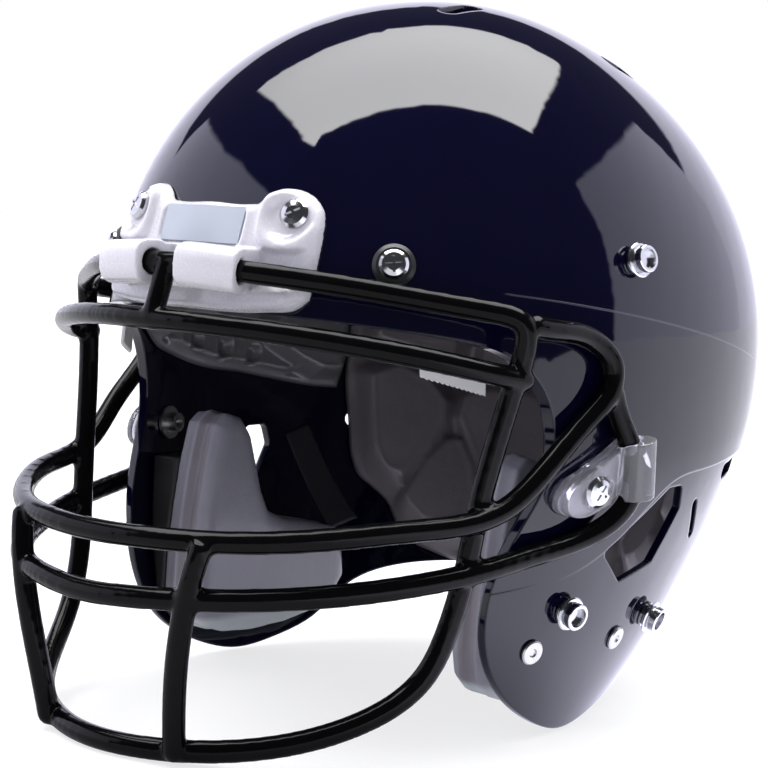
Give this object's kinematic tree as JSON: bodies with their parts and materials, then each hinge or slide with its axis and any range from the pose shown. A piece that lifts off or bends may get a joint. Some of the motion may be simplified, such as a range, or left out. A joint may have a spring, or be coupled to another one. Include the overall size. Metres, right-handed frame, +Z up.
{
  "type": "american football helmet",
  "caption": "Hard shell helmet with a welded wire face mask, forehead bumper, clear side clips, snap studs, jaw pads and a cushioned liner.",
  "frame": {"origin": "middle of the bounding box, on the ground under the jaw flaps and the chin wire", "axes": "+X to the wearer's left, +Y to the back of the head, +Z up"},
  "size_m": [0.2574, 0.3416, 0.2765],
  "materials": {
    "shell_gloss": "gloss moulded polycarbonate, very dark navy",
    "mask_coating": "thick gloss black dipped coating on steel wire",
    "bumper_white": "gloss white moulded plastic",
    "plate_grey": "pale grey plate, blank",
    "clip_clear": "clear moulded polycarbonate",
    "hardware_chrome": "bright plated steel",
    "hardware_nickel": "nickel plated steel",
    "washer_black": "dark rubber",
    "backing_black": "black moulded backing",
    "jaw_vinyl": "smooth grey vinyl over foam",
    "liner_grey": "charcoal moulded urethane cushions",
    "brow_grey": "translucent grey moulded urethane",
    "tab_white": "white hook and loop tape",
    "label_dark": "blank dark woven label"
  },
  "bodies": {
    "helmet": {"shell": "shell_gloss", "top_bar": "mask_coating", "brow_bar": "mask_coating", "upper_wire": "mask_coating", "lower_wire": "mask_coating", "chin_wire": "mask_coating", "front_post_left": "mask_coating", "front_post_right": "mask_coating", "centre_post": "mask_coating", "front_bumper": "bumper_white", "name_plate": "plate_grey", "bumper_tnuts": "hardware_nickel", "brow_washers": "washer_black", "brow_screws": "hardware_chrome", "brow_tnuts": "hardware_nickel", "snap_studs": "hardware_chrome", "snap_tnuts": "hardware_nickel", "jaw_rivets": "hardware_nickel", "left_clip": "clip_clear", "right_clip": "clip_clear", "clip_tnuts": "hardware_nickel", "brow_pad": "brow_grey", "crown_pad": "liner_grey", "left_liner": "brow_grey", "right_liner": "brow_grey", "rear_left_liner": "liner_grey", "rear_right_liner": "liner_grey", "rear_liner": "liner_grey", "brow_tabs": "tab_white", "inner_label": "label_dark"},
    "left_jaw": {"left_jaw_backing": "backing_black", "left_jaw_pad": "jaw_vinyl"},
    "right_jaw": {"right_jaw_backing": "backing_black", "right_jaw_pad": "jaw_vinyl"},
    "bumper_screw_l": {"bumper_screw_left": "hardware_chrome"},
    "bumper_screw_r": {"bumper_screw_right": "hardware_chrome"},
    "clip_screw_l": {"clip_screw_left": "hardware_chrome"},
    "clip_screw_r": {"clip_screw_right": "hardware_chrome"}
  },
  "joints": [
    {"name": "left_jaw_unsnap", "type": "slide", "parent": "helmet", "child": "left_jaw", "axis": [-1, 0, 0], "range_m": [0, 0.012]},
    {"name": "right_jaw_unsnap", "type": "slide", "parent": "helmet", "child": "right_jaw", "axis": [1, 0, 0], "range_m": [0, 0.012]},
    {"name": "bumper_screw_l_out", "type": "slide", "parent": "helmet", "child": "bumper_screw_l", "axis": [0.3058, -0.9009, 0.3079], "range_m": [0, 0.014]},
    {"name": "bumper_screw_r_out", "type": "slide", "parent": "helmet", "child": "bumper_screw_r", "axis": [-0.3058, -0.9009, 0.3079], "range_m": [0, 0.014]},
    {"name": "clip_screw_l_out", "type": "slide", "parent": "helmet", "child": "clip_screw_l", "axis": [0.9725, -0.2105, -0.0998], "range_m": [0, 0.014]},
    {"name": "clip_screw_r_out", "type": "slide", "parent": "helmet", "child": "clip_screw_r", "axis": [-0.9725, -0.2105, -0.0998], "range_m": [0, 0.014]}
  ]
}
